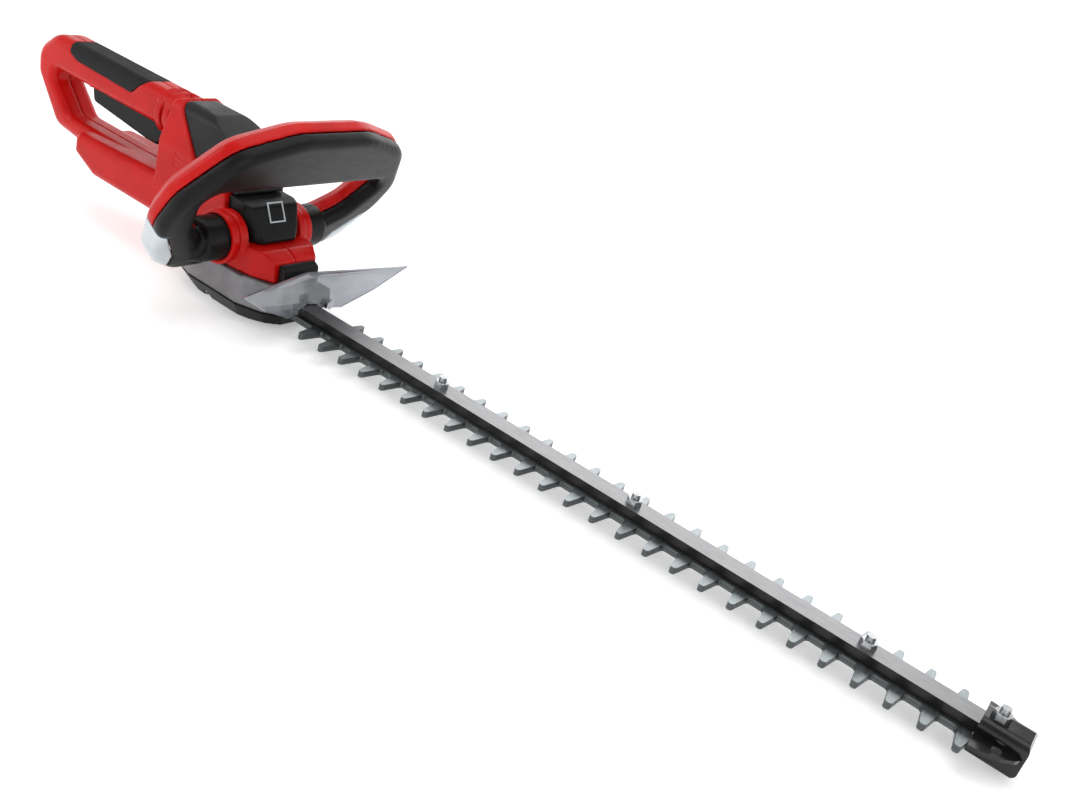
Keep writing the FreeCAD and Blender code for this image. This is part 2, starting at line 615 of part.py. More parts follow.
def make_blade(label, base):
    """Toothed blade with a window at its rear for the crank disc."""
    blade = doc.addObject("PartDesign::Body", label)
    spine = sketch_on(blade, f"{label}_spine", "XY_Plane", base)
    add_rectangle(spine, f"{CRANK_X + SWEEP} mm", "dims.spine_end", "dims.spine_half")
    pad(blade, spine, f"{label}_spine_pad", "dims.blade_thick")
    yoke = sketch_on(blade, f"{label}_yoke", "XY_Plane", base)
    add_obround(yoke, CRANK_X - THROW, CRANK_X + THROW, SWEEP + dim("yoke_wall"))
    pad(blade, yoke, f"{label}_yoke_pad", "dims.blade_thick")
    teeth = (("near", 0.0, -1, "dims.near_teeth"), ("far", dim("tooth_pitch") / 2, 1, "dims.far_teeth"))
    for name, start, side, count in teeth:
        tooth = sketch_on(blade, f"{label}_{name}_tooth", "XY_Plane", base)
        add_outline(tooth, tooth_points(start, side))
        tooth_pad = pad(blade, tooth, f"{label}_{name}_pad", "dims.blade_thick")
        row_of(blade, tooth_pad, f"{label}_{name}_row", count, f"dims.tooth_pitch * ({count} - 1)")
    window = sketch_on(blade, f"{label}_window", "XY_Plane", base)
    add_obround(window, CRANK_X - THROW, CRANK_X + THROW, SWEEP)
    pocket(blade, window, f"{label}_window_cut", "dims.blade_thick")
    slots = sketch_on(blade, f"{label}_slots", "XY_Plane", base)
    for stud in [RIVET_X] + STUDS:
        add_obround(slots, stud - THROW, stud + THROW, dim("bush_radius") + 0.3)
    blade.Tip = pocket(blade, slots, f"{label}_slot_cuts", "dims.blade_thick")
    finish(blade, label)


make_blade("upper_blade", "dims.upper_blade_base")
make_blade("lower_blade", "dims.lower_blade_base")

# ---------------------------------------------------------------- studs, nuts and bushes

STUD = dim("stud_radius")
STUD_FOOT = -1.5
BAR_TOP = dim("bar_top")
NUT_HIGH = 5.0
GUARD_ROOF = 16.0


def hex_prism(across, x, y, low, high):
    """Upright hexagonal prism, its size given across the flats."""
    radius = across / math.sqrt(3)
    corners = [(x + radius * math.cos(math.radians(60 * k)), y + radius * math.sin(math.radians(60 * k)))
               for k in range(6)]
    return slab_z(corners, low, high)


def blade_stud(x, head_top, nut_base):
    """Stud with a round head below the blades, standing 3.5 mm out of its nut."""
    shank = post(STUD, x, 0, head_top - 1, nut_base + NUT_HIGH + 3.5)
    head = post(6.5, x, 0, head_top - 3.0, head_top)
    return shank.fuse(head)


def nut(x, base):
    """Hexagon nut with its edges turned down."""
    body = hex_prism(10.0, x, 0, base, base + NUT_HIGH)
    turned = Part.makeCone(6.6, 4.9, NUT_HIGH + 0.001, Vector(x, 0, base)).fuse(post(5.6, x, 0, base, base + 4.2))
    return body.common(turned).cut(post(STUD, x, 0, base - 1, base + 9))


studs = [blade_stud(x, STUD_FOOT, BAR_TOP) for x in STUDS]
studs.append(post(STUD, RIVET_X, 0, STUD_FOOT - 1, BAR_TOP).fuse(post(6.5, RIVET_X, 0, STUD_FOOT - 3.0, STUD_FOOT)))
studs.append(blade_stud(TIP_STUD, -7.0, GUARD_ROOF))
nuts = [nut(x, BAR_TOP) for x in STUDS] + [nut(TIP_STUD, GUARD_ROOF)]
bushes = [post(dim("bush_radius"), x, 0, STUD_FOOT, BAR_TOP - dim("bar_wall")).cut(post(STUD, x, 0, -9, 20))
          for x in [RIVET_X] + STUDS]
finish_shape("blade_studs", Part.makeCompound(studs))
finish_shape("stud_nuts", Part.makeCompound(nuts))
finish_shape("blade_bushes", Part.makeCompound(bushes))

# ---------------------------------------------------------------- tip guard

GUARD_BASE = dim("guard_base")
GUARD_FRONT = dim("guard_front")
guard_arch = [(-12, GUARD_BASE), (12, GUARD_BASE), (12, GUARD_ROOF), (-12, GUARD_ROOF)]
guard = slab_x(guard_arch, 541.3, GUARD_FRONT, [3, 3, 6, 6])
guard = guard.common(slab_y([(541, -12), (566, -12), (GUARD_FRONT, -5), (GUARD_FRONT, 12), (568, 20), (541, 20)],
                            -30, 30, [0, 3, 3, 3, 3, 0]))
wing_plan = [(541.3, 28.5), (550, 27.5), (560, 23), (567, 17), (GUARD_FRONT - 0.5, 10)]
wings = slab_z(mirrored(wing_plan), 4.4, 7.0)
guard = guard.fuse(wings)
guard = guard.cut([post(dim("hang_radius"), 556, side * 18, 0, 10) for side in (-1, 1)])
guard = guard.cut([block(541, 550.4, 9.5, 13, -1.9, 4.2), block(541, 550.4, -13, -9.5, -1.9, 4.2)])
guard = guard.cut([block(541, 547.2, -12.1, 12.1, -1.9, 4.2), block(541, 556.3, -8.35, 8.35, 3.9, 10.9)])
guard = guard.cut([post(STUD + 0.05, TIP_STUD, 0, -20, 30), post(6.7, TIP_STUD, 0, -20, -6.9)])
finish_shape("tip_guard", main_solid(guard))

# ---------------------------------------------------------------- hand shield

SHIELD = dim("shield_thick")
shield_top = Vector(-33, 0, 36)
shield_tip = Vector(-7, 90, 41)
wing_corners = [shield_top, shield_tip, Vector(-13.4, 60, 22), Vector(-18, 30, 8), Vector(-24, 10, 8),
                Vector(-24.4, 9.2, 11.4), Vector(-27.8, 0, 11.4)]
wing_normal = (shield_tip - shield_top).cross(wing_corners[3] - shield_top).normalize()
flat_corners = [corner - wing_normal * (corner - shield_top).dot(wing_normal) for corner in wing_corners]
wing_face = Part.Face(Part.makePolygon(flat_corners + [flat_corners[0]]))
wing = wing_face.extrude(wing_normal * -SHIELD)
wing = wing.common(block(-60, 20, 0, 100, -10, 60))
shield = wing.fuse(wing.mirror(Vector(0, 0, 0), Vector(0, 1, 0)))
ledge_face = Part.Face(Part.makePolygon([shield_top, shield_tip, shield_tip + Vector(1, 0, 0),
                                         shield_top + Vector(7, 0, 0), shield_top]))
ledge = ledge_face.extrude(Vector(0, 0, -1.8))
shield = shield.fuse([ledge, ledge.mirror(Vector(0, 0, 0), Vector(0, 1, 0))])
SCREW_SEAT = -18.7


def along_bar(radius, x_low, x_high, side):
    """Cylinder on the axis of one shield screw."""
    start = Vector(x_low, side * SHIELD_SCREW_Y, SHIELD_SCREW_Z)
    return Part.makeCylinder(radius, x_high - x_low, start, Vector(1, 0, 0))


rear_face = Part.makePlane(300, 300, Vector(0, 0, 0), wing_normal)
rear_face.translate(shield_top - rear_face.BoundBox.Center)
boss = along_bar(4.4, -30.0, SCREW_SEAT - 0.05, 1).cut(rear_face.extrude(wing_normal * 80))
shield = shield.fuse(both_sides(boss))
shield = shield.cut([along_bar(2.2, -60, 0, side) for side in (-1, 1)])
finish_shape("hand_shield", main_solid(shield))

bracket = slab_y([(-34.8, 7.5), (-36.7, 23), (-16, 23), (-16, 7.5)], 0, 20.5)
rear_face.translate(wing_normal * 0.15)
bracket = bracket.cut(rear_face.extrude(wing_normal * -80))
bracket = bracket.fuse(bracket.mirror(Vector(0, 0, 0), Vector(0, 1, 0)))
bracket = bracket.cut([block(-60, 0, -8.6, 8.6, 0, 11.4)] + [along_bar(2.2, -60, 0, side) for side in (-1, 1)])
finish_shape("shield_bracket", main_solid(bracket))

screws = []
for side in (-1, 1):
    head = hex_prism(7.0, 0, 0, 0, 3.0)
    head.rotate(Vector(0, 0, 0), Vector(0, 1, 0), 90)
    head.translate(Vector(SCREW_SEAT, side * SHIELD_SCREW_Y, SHIELD_SCREW_Z))
    screws.append(along_bar(2.0, -43.0, SCREW_SEAT + 1, side).fuse(head))
finish_shape("shield_screws", Part.makeCompound(screws))

# ---------------------------------------------------------------- front handle

LEAN = math.radians(dim("bail_lean"))
BAIL_X = dim("bail_x")
SPLIT = dim("bail_split")
along = Vector(math.sin(LEAN), 0, math.cos(LEAN))
ahead = Vector(math.cos(LEAN), 0, -math.sin(LEAN))


def on_bail(y, up, depth=0.0):
    """Point of the front handle: across, up its plane, and ahead of its plane."""
    return Vector(BAIL_X, 0, 0) + along * up + ahead * depth + Vector(0, y, 0)


def bail_slab(points, radii, low, high):
    """Outline in the front handle's plane, given thickness along its normal."""
    wire = rounded_wire(points, radii, lambda p: on_bail(p.x, p.y, low))
    return Part.Face(wire).extrude(ahead * (high - low))


FEET_Y = 43.0
bail_half_outer = [(FEET_Y, 24), (72, 23), (98, 38), (113, 82), (113, 112), (86, 159), (36, 177)]
bail_half_inner = [(FEET_Y, 62), (64, 62), (80, 76), (93, 112), (84, 121)]
bail_half_outer_radii = [0, 18, 22, 40, 40, 34, 60]
bail_half_inner_radii = [0, 16, 14, 12, 8]


def whole(half_points):
    """Both halves of an outline that starts at the right foot and ends at the left foot."""
    return [(-py, up) for py, up in half_points] + [(py, up) for py, up in reversed(half_points)]


def bail_wire(depth):
    """Outline of the front handle's arch at one depth."""
    points = whole(bail_half_outer) + whole(bail_half_inner)[::-1]
    radii = bail_half_outer_radii + bail_half_outer_radii[::-1]
    radii += bail_half_inner_radii + bail_half_inner_radii[::-1]
    return rounded_wire(points, radii, lambda p: on_bail(p.x, p.y, depth))


def bail_ring(shrink, low, high):
    """Arch of the front handle, with its walls taken off when shrunk."""
    wire = bail_wire(low)
    if shrink:
        return Part.Face(wire.makeOffset2D(-shrink)).extrude(ahead * (high - low))
    return Part.Face(wire).extrude(ahead * (high - low))


def rim_edges(shape, depth):
    """Edges of the flat face at one depth, apart from those across the feet."""
    level = on_bail(0, 0, depth).dot(ahead)
    edges = []
    for edge in shape.Edges:
        middle = edge_middle(edge)
        flat = abs(middle.dot(ahead) - level) < 0.01
        flat = flat and abs(edge.valueAt(edge.FirstParameter).dot(ahead) - level) < 0.01
        if flat and (abs(middle.y) > FEET_Y + 0.1 or middle.z > 80):
            edges.append(edge)
    return edges


BAIL_FRONT = dim("bail_front")
BAIL_BACK = dim("bail_back")
BAIL_WALL = dim("bail_wall")
LEG_X = -94.0
LEG_Z = 45.0
front_shell = bail_ring(0, SPLIT + 0.05, BAIL_FRONT)
front_shell = front_shell.makeFillet(6.0, rim_edges(front_shell, BAIL_FRONT))
REAR_TAPER = 8.0
rear_shell = bail_ring(0, BAIL_BACK, SPLIT - 0.05)
rear_shell = rear_shell.makeChamfer(REAR_TAPER, rim_edges(rear_shell, BAIL_BACK))
legs = [rod_y(18.0, LEG_X, LEG_Z, 36.2, 62), rod_y(18.0, LEG_X, LEG_Z, -62, -36.2)]
front_room = bail_ring(BAIL_WALL, SPLIT - 1, BAIL_FRONT - BAIL_WALL)
rear_room = bail_ring(BAIL_WALL, BAIL_BACK + REAR_TAPER, SPLIT + 1)
rear_room = rear_room.fuse(bail_ring(REAR_TAPER, BAIL_BACK + BAIL_WALL, SPLIT))
rear_shell = rear_shell.cut(block(-200, 0, -64, 64, -20, 68))
lever_slot_rear = bail_slab([(-67, 110), (67, 110), (67, 140), (-67, 140)], 0, -18.0, SPLIT + 1)
corner_cut = bail_slab([(79, 15), (130, 15), (130, 72), (102, 72), (84, 46)], 0, -40, 20)
corner_cuts = both_sides(corner_cut)
front_whole = front_shell.fuse(legs)
front_hollow = front_whole.cut(front_room.cut(block(-200, 0, -70, 70, -20, 60)))
rear_hollow = rear_shell.cut(rear_room).cut(lever_slot_rear)
switch_wall = bail_slab([(10.1, 131), (12.5, 131), (12.5, 168), (10.1, 168)], 0, BAIL_BACK + 1, SPLIT - 1.0)
rear_hollow = rear_hollow.fuse(both_sides(switch_wall))
whole_ring = front_shell.fuse([rear_shell, bail_ring(0, SPLIT - 0.5, SPLIT + 0.5)])
caps = [whole_ring.common(cut) for cut in corner_cuts]
finish_shape("bail_front_shell", main_solid(front_hollow.cut(caps)))
finish_shape("bail_rear_shell", main_solid(rear_hollow.cut(caps)))
finish_shape("bail_corner_caps", Part.makeCompound([main_solid(cap) for cap in caps]))
collars = [rod_y(21.5, LEG_X, LEG_Z, low, high).cut(rod_y(18.1, LEG_X, LEG_Z, low - 1, high + 1))
           for low, high in ((35.1, 42.0), (-42.0, -35.1))]
finish_shape("bail_collars", Part.makeCompound(collars))

switch_bar = bail_slab([(-64, 113), (64, 113), (64, 126), (-64, 126)], [5, 5, 2, 2], -17.0, -6.5)
finish_shape("front_switch_bar", switch_bar)

# ---------------------------------------------------------------- motor

MOTOR_R = dim("motor_radius")
MOTOR_LOW = dim("motor_base")
MOTOR_TOP = MOTOR_LOW + dim("motor_height")
SHAFT = dim("rotor_radius")
CLEAR = dim("run_clear")
GEAR_LOW = dim("gear_base")
GEAR_HIGH = GEAR_LOW + dim("gear_thick")


def tube(outer, inner, x, low, high):
    """Upright tube."""
    return post(outer, x, 0, low, high).cut(post(inner, x, 0, low - 1, high + 1))


can = post(MOTOR_R, MOTOR_X, 0, MOTOR_LOW, MOTOR_TOP)
can = can.cut(post(MOTOR_R - 1.5, MOTOR_X, 0, MOTOR_LOW + 1.5, MOTOR_TOP + 1))
can = can.fuse(post(7.5, MOTOR_X, 0, MOTOR_LOW - 4.5, MOTOR_LOW + 1)).cut(post(5.0, MOTOR_X, 0, 10, MOTOR_LOW + 2))
finish_shape("motor_can", main_solid(can))
magnet_ring = tube(MOTOR_R - 1.6, MOTOR_R - 5.0, MOTOR_X, MOTOR_LOW + 4, MOTOR_LOW + 30)
gap_wedges = block(MOTOR_X - 30, MOTOR_X + 30, -4, 4, 0, 90)
magnets = magnet_ring.cut(gap_wedges)
finish_shape("motor_magnets", magnets)
end_bell = post(MOTOR_R - 1.6, MOTOR_X, 0, MOTOR_TOP - 3.0, MOTOR_TOP)
end_bell = end_bell.fuse(tube(8.0, 5.0, MOTOR_X, MOTOR_TOP - 3.0, MOTOR_TOP + 4.0))
end_bell = end_bell.cut(post(5.0, MOTOR_X, 0, 0, 90))
finish_shape("motor_end_bell", main_solid(end_bell))
BRUSH_Z = MOTOR_TOP - 6.4
brushes = [block(MOTOR_X + low, MOTOR_X + high, -1.5, 1.5, BRUSH_Z - 2.5, BRUSH_Z + 2.5)
           for low, high in ((5.1, 12.0), (-12.0, -5.1))]
finish_shape("carbon_brushes", Part.makeCompound(brushes))
holders = []
for side in (-1, 1):
    holder = block(-13, 13, -3, 3, BRUSH_Z - 3.4, MOTOR_TOP - 3.05)
    holder = holder.common(block(min(side * 7, side * 15), max(side * 7, side * 15), -3, 3, 0, 90))
    holder.translate(Vector(MOTOR_X, 0, 0))
    slot = block(MOTOR_X - 12.1, MOTOR_X + 12.1, -1.6, 1.6, BRUSH_Z - 2.6, BRUSH_Z + 2.6)
    holders.append(holder.cut(slot))
finish_shape("brush_holders", Part.makeCompound(holders))
finish_shape("motor_bearings", Part.makeCompound([
    tube(4.95, SHAFT + CLEAR, MOTOR_X, MOTOR_LOW - 4.0, MOTOR_LOW + 0.5),
    tube(4.95, SHAFT + CLEAR, MOTOR_X, MOTOR_TOP - 0.5, MOTOR_TOP + 3.5)]))


def primitive(kind, name, x, z, **sizes):
    """Part primitive standing on a place of the middle plane, with its sizes bound to the spreadsheet."""
    item = doc.addObject(f"Part::{kind}", name)
    bind(item, **sizes)
    item.Placement = Placement(Vector(x, 0, z), Rotation())
    return item


rotor_shaft = doc.addObject("PartDesign::Body", "rotor_shaft")
shaft_sketch = sketch_on(rotor_shaft, "shaft_end", "XY_Plane", "dims.gear_base")
add_circle(shaft_sketch, "dims.motor_x", "dims.rotor_radius")
pad(rotor_shaft, shaft_sketch, "shaft_pad", "dims.motor_base + dims.motor_height + 3 - dims.gear_base")
finish(rotor_shaft, "rotor_shaft")


def armature_core():
    """Five-pole lamination stack with its windings as a plain drum between the poles."""
    core = tube(13.0, SHAFT, MOTOR_X, MOTOR_LOW + 6, MOTOR_LOW + 27)
    slots = []
    for pole in range(5):
        angle = 72 * pole
        slot = block(9.5, 14, -1.2, 1.2, 0, 90).fuse(block(7.0, 10.5, -2.6, 2.6, 0, 90))
        slot.rotate(Vector(0, 0, 0), Vector(0, 0, 1), angle)
        slot.translate(Vector(MOTOR_X, 0, 0))
        slots.append(slot)
    return core.cut(slots)


finish_shape("armature_core", armature_core())
windings = tube(9.0, SHAFT + 1.5, MOTOR_X, MOTOR_LOW + 27.1, MOTOR_LOW + 30)
windings_low = tube(9.0, SHAFT + 1.5, MOTOR_X, MOTOR_LOW + 3.0, MOTOR_LOW + 5.9)
finish_shape("armature_windings", Part.makeCompound([windings, windings_low]))
commutator = tube(5.0, SHAFT, MOTOR_X, MOTOR_LOW + 30.1, MOTOR_TOP - 3.2)
for bar_index in range(5):
    groove = block(4.3, 6, -0.25, 0.25, MOTOR_LOW + 30.1, MOTOR_TOP - 3.2)
    groove.rotate(Vector(0, 0, 0), Vector(0, 0, 1), 72 * bar_index)
    groove.translate(Vector(MOTOR_X, 0, 0))
    commutator = commutator.cut(groove)
finish_shape("commutator", commutator)


def gear_wire(teeth, shift):
    """Closed involute outline of a spur gear."""
    builder = FCWireBuilder()
    involute.CreateExternalGear(builder, dim("gear_module"), teeth, 20, True, 1.0, 1.25, 0.3, shift)
    return Part.Wire([edge.toShape() for edge in builder.wire])


def gear(teeth, x, low, high, bore, turn, shift):
    """Spur gear standing on an axis parallel to Z."""
    body = Part.Face(gear_wire(teeth, shift)).extrude(Vector(0, 0, high - low))
    body.rotate(Vector(0, 0, 0), Vector(0, 0, 1), turn)
    body.translate(Vector(x, 0, low))
    return body.cut(post(bore, x, 0, low - 1, high + 1))


HALF_TOOTH = 180.0 / dim("pinion_teeth")
finish_shape("pinion", gear(int(dim("pinion_teeth")), MOTOR_X, GEAR_LOW, GEAR_HIGH, SHAFT, HALF_TOOTH, 0.4))

# ---------------------------------------------------------------- crank

CRANK_R = dim("crank_radius")
DISC = dim("disc_radius")
drive_gear = gear(int(dim("gear_teeth")), CRANK_X, GEAR_LOW, GEAR_HIGH, CRANK_R, 0.0, -0.4)
lightening = []
for step in range(6):
    hole = post(3.2, 12.0, 0, 0, 40)
    hole.rotate(Vector(0, 0, 0), Vector(0, 0, 1), 60 * step)
    hole.translate(Vector(CRANK_X, 0, 0))
    lightening.append(hole)
finish_shape("drive_gear", drive_gear.cut(lightening))

crank_shaft = primitive("Cylinder", "crank_shaft", CRANK_X, -7.9, Radius="dims.crank_radius", Height="31.4 mm")


def crank_disc(low, high, offset):
    """Round disc set off the crank axis."""
    return post(DISC, CRANK_X, offset, low, high).cut(post(CRANK_R, CRANK_X, 0, low - 1, high + 1))


upper_low = dim("upper_blade_base")
lower_low = dim("lower_blade_base")
thick = dim("blade_thick")
finish_shape("upper_crank_disc", crank_disc(upper_low - 0.05, upper_low + thick + 0.05, THROW))
finish_shape("lower_crank_disc", crank_disc(lower_low - 0.05, lower_low + thick + 0.05, -THROW))
finish_shape("crank_spacer", tube(7.0, CRANK_R, CRANK_X, upper_low + thick + 0.1, GEAR_LOW - 0.05))
finish(crank_shaft, "crank_shaft")
finish_shape("upper_bearing", tube(8.0, CRANK_R + CLEAR, CRANK_X, 19.6, 23.6))
finish_shape("lower_bush", tube(6.0, CRANK_R + CLEAR, CRANK_X, -8.0, -3.5))

# ---------------------------------------------------------------- rear trigger

TRIGGER_HALF = 8.0
trigger_outline = [(-306, 90), (-303, 79), (-230, 72), (-216, 72), (-208, 80), (-208, 96), (-228, 99), (-290, 101),
                   (-305, 101)]
trigger_radii = [2, 4, 6, 5, 5, 3, 2, 2, 4]
trigger = slab_y(trigger_outline, -TRIGGER_HALF, TRIGGER_HALF, trigger_radii)
trigger = rounded_edges(trigger, 2.0, lambda e: on_side(e, TRIGGER_HALF) and edge_middle(e).z < 86)
trigger = trigger.cut(rod_y(PIN_R + CLEAR, PIN_X, PIN_Z, -20, 20))
finish_shape("rear_trigger", trigger)
finish_shape("trigger_pin", rod_y(PIN_R, PIN_X, PIN_Z, -12, 12))


def coil_spring(radius, wire, turns, x, y, low, high):
    """Upright compression spring."""
    pitch = (high - low - wire) / turns
    helix = Part.makeHelix(pitch, pitch * turns, radius)
    circle = Part.Wire(Part.makeCircle(wire / 2, Vector(radius, 0, 0), Vector(0, 1, 0)))
    spring = Part.Wire(helix.Edges).makePipeShell([circle], True, True)
    spring.translate(Vector(x, y, low + wire / 2))
    return spring


finish_shape("trigger_spring", coil_spring(3.0, 0.8, 5, -222, 0, 98.9, 109.9))

# ---------------------------------------------------------------- switches

switch_body = block(SWITCH_X - 10, SWITCH_X + 10, -5, 5, 104, 115)
switch_body = switch_body.cut(post(1.65, SWITCH_X, 0, 103, 112.5))
finish_shape("rear_switch", switch_body.fuse([block(SWITCH_X + step, SWITCH_X + step + 3, -0.4, 0.4, 115, 118)
                                              for step in (-8, -1, 5)]))
rear_plunger = primitive("Cylinder", "rear_plunger", SWITCH_X, 101.0, Radius="1.5 mm", Height="8 mm")
finish(rear_plunger, "rear_plunger")

front_switch = bail_slab([(-10, 132), (10, 132), (10, 146), (-10, 146)], 0, -16.5, -8.5)
plunger_foot = on_bail(0, 126.8, -12.5)
front_switch = front_switch.cut(Part.makeCylinder(1.65, 18.0, plunger_foot, along))
finish_shape("front_switch", front_switch)
finish_shape("front_plunger", Part.makeCylinder(1.5, 12.0, plunger_foot, along))

# ---------------------------------------------------------------- electronics

BOARD_Z = 62.0
board = block(-176, -134, -19, 19, BOARD_Z, BOARD_Z + 1.6)
board_parts = [block(-172, -160, -12, -2, BOARD_Z + 1.6, BOARD_Z + 8), block(-172, -160, 2, 12, BOARD_Z + 1.6,
               BOARD_Z + 8), post(4.0, -150, 8, BOARD_Z + 1.6, BOARD_Z + 13),
               block(-154, -144, -12, -4, BOARD_Z + 1.6, BOARD_Z + 4)]
finish_shape("control_board", board.fuse(board_parts))
terminal_block = block(-193, -172, -16, 16, 34.4, 44)
terminal_block = terminal_block.fuse(block(-191, -174, -14, 14, 31, 35))
contact_places = [-10.5, -3.5, 3.5, 10.5]
contact_blades = [block(-189, -177, cy - 0.4, cy + 0.4, 27, 47) for cy in contact_places]
finish_shape("terminal_block", terminal_block.cut(contact_blades))
finish_shape("battery_contacts", Part.makeCompound(contact_blades))

# ---------------------------------------------------------------- screws

housing_screws = []
for post_x, post_z in screw_posts:
    shank = rod_y(1.5, post_x, post_z, -9, 11.05)
    housing_screws.append(shank.fuse(rod_y(2.9, post_x, post_z, 11.05, 13.4)))
finish_shape("housing_screws", Part.makeCompound(housing_screws))
case_bolts = [post(1.5, sx, sy, -7.5, 12).fuse(post(3.0, sx, sy, -10.0, -7.5)) for sx, sy in case_screws]
finish_shape("case_screws", Part.makeCompound(case_bolts))
plate_bolts = [post(1.5, sx, sy, 4.3, 15).fuse(post(3.5, sx, sy, 1.6, 4.35)) for sx, sy in plate_screws]
finish_shape("plate_screws", Part.makeCompound(plate_bolts))

doc.recompute()
for item in doc.Objects:
    if "Invalid" in item.State or "Error" in item.State:
        raise RuntimeError(f"{item.Label}: {item.State}")
os.makedirs("parts", exist_ok=True)
for item in SUB_PARTS:
    shape = item.Shape
    if shape.isNull() or not shape.isValid():
        raise RuntimeError(f"{item.Label}: shape is not valid")
    shape.exportStep(f"parts/{item.Label}.step")
    box = shape.BoundBox
    print(f"{item.Label:20s} solids {len(shape.Solids)} volume {shape.Volume:10.1f}"
          f" x {box.XMin:8.2f} {box.XMax:8.2f} y {box.YMin:8.2f} {box.YMax:8.2f} z {box.ZMin:7.2f} {box.ZMax:7.2f}")
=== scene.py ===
import json

import bmesh
import bpy
from mathutils import Matrix, Vector

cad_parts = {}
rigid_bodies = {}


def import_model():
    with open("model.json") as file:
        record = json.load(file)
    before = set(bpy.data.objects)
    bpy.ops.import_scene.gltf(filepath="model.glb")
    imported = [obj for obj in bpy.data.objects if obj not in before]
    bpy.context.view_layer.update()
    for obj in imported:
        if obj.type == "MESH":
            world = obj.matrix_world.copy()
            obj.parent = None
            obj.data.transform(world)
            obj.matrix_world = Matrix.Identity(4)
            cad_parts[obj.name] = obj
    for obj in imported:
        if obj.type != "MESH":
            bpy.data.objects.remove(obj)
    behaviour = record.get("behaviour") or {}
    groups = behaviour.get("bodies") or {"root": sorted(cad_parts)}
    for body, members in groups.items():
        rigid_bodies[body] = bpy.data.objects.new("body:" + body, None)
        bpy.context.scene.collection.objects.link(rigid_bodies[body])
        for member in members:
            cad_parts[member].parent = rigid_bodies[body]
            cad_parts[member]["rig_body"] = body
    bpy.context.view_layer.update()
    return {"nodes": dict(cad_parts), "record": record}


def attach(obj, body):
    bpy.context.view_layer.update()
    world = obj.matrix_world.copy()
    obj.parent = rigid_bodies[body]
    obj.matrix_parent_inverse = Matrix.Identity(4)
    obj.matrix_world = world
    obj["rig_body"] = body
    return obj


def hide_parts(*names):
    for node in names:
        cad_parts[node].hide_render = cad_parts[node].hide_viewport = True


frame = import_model()
FRAME_X = -98.23    # mm from the tool's own origin to the row frame's, along X
FRAME_Z = 14.0      # mm from the tool's own origin to the row frame's, along Z


def place(x, y, z):
    """Point in the row frame, in metres, of a point given in the tool's own axes in millimetres."""
    return Vector(((x + FRAME_X) / 1000, y / 1000, (z + FRAME_Z) / 1000))


# ---------------------------------------------------------------- materials

class Nodes:
    """Short way to build one material's node tree."""

    def __init__(self, name):
        self.material = bpy.data.materials.new(name)
        self.material.use_nodes = True
        self.tree = self.material.node_tree
        self.shader = self.tree.nodes["Principled BSDF"]
        self.coords = self.tree.nodes.new("ShaderNodeTexCoord").outputs["Object"]

    def node(self, kind, **values):
        item = self.tree.nodes.new(kind)
        for key, value in values.items():
            setattr(item, key, value)
        return item

    def link(self, source, target):
        self.tree.links.new(source, target)

    def stretched(self, scale):
        """Object coordinates with each axis multiplied."""
        mapping = self.node("ShaderNodeMapping")
        mapping.inputs["Scale"].default_value = scale
        self.link(self.coords, mapping.inputs["Vector"])
        return mapping.outputs["Vector"]

    def noise(self, scale, detail=3.0, rough=0.55, stretch=(1, 1, 1)):
        """Noise texture's value."""
        item = self.node("ShaderNodeTexNoise")
        item.inputs["Scale"].default_value = scale
        item.inputs["Detail"].default_value = detail
        item.inputs["Roughness"].default_value = rough
        self.link(self.stretched(stretch), item.inputs["Vector"])
        return item.outputs["Fac"]

    def ramp(self, value, low, high, first, last):
        """Value from first to last as the input goes from low to high."""
        item = self.node("ShaderNodeMapRange")
        item.inputs["From Min"].default_value = low
        item.inputs["From Max"].default_value = high
        item.inputs["To Min"].default_value = first
        item.inputs["To Max"].default_value = last
        self.link(value, item.inputs["Value"])
        return item.outputs["Result"]

    def blend(self, factor, one, other):
        """Colour between two colours or sockets."""
        item = self.node("ShaderNodeMix", data_type="RGBA")
        self.link(factor, item.inputs["Factor"])
        for socket, value in ((item.inputs[6], one), (item.inputs[7], other)):
            if isinstance(value, tuple):
                socket.default_value = (*value, 1)
            else:
                self.link(value, socket)
        return item.outputs[2]

    def bump(self, heights, distance=0.0002):
        """Chain of bumps from pairs of height and strength."""
        normal = None
        for height, strength in heights:
            item = self.node("ShaderNodeBump")
            item.inputs["Strength"].default_value = strength
            item.inputs["Distance"].default_value = distance
            self.link(height, item.inputs["Height"])
            if normal is not None:
                self.link(normal, item.inputs["Normal"])
            normal = item.outputs["Normal"]
        self.link(normal, self.shader.inputs["Normal"])


def moulded(name, dark, light, gloss, grain=2600.0, grain_strength=0.15, coat=0.0, metallic=0.0, shine=0.2):
    """Moulded plastic: slight cloudiness, handling marks in its gloss and a fine spark-eroded grain."""
    made = Nodes(name)
    cloud = made.noise(38.0, 5.0)
    made.link(made.blend(made.ramp(cloud, 0.35, 0.65, 0, 1), dark, light), made.shader.inputs["Base Color"])
    marks = made.noise(95.0, 6.0, 0.65, (1, 1, 2.5))
    made.link(made.ramp(marks, 0.3, 0.72, gloss[0], gloss[1]), made.shader.inputs["Roughness"])
    made.shader.inputs["Metallic"].default_value = metallic
    made.shader.inputs["Coat Weight"].default_value = coat
    made.shader.inputs["Coat Roughness"].default_value = 0.12
    made.shader.inputs["Specular IOR Level"].default_value = shine
    made.bump([(made.noise(grain, 2.0), grain_strength), (made.noise(160.0, 2.0), 0.03)], 0.0001)
    return made.material


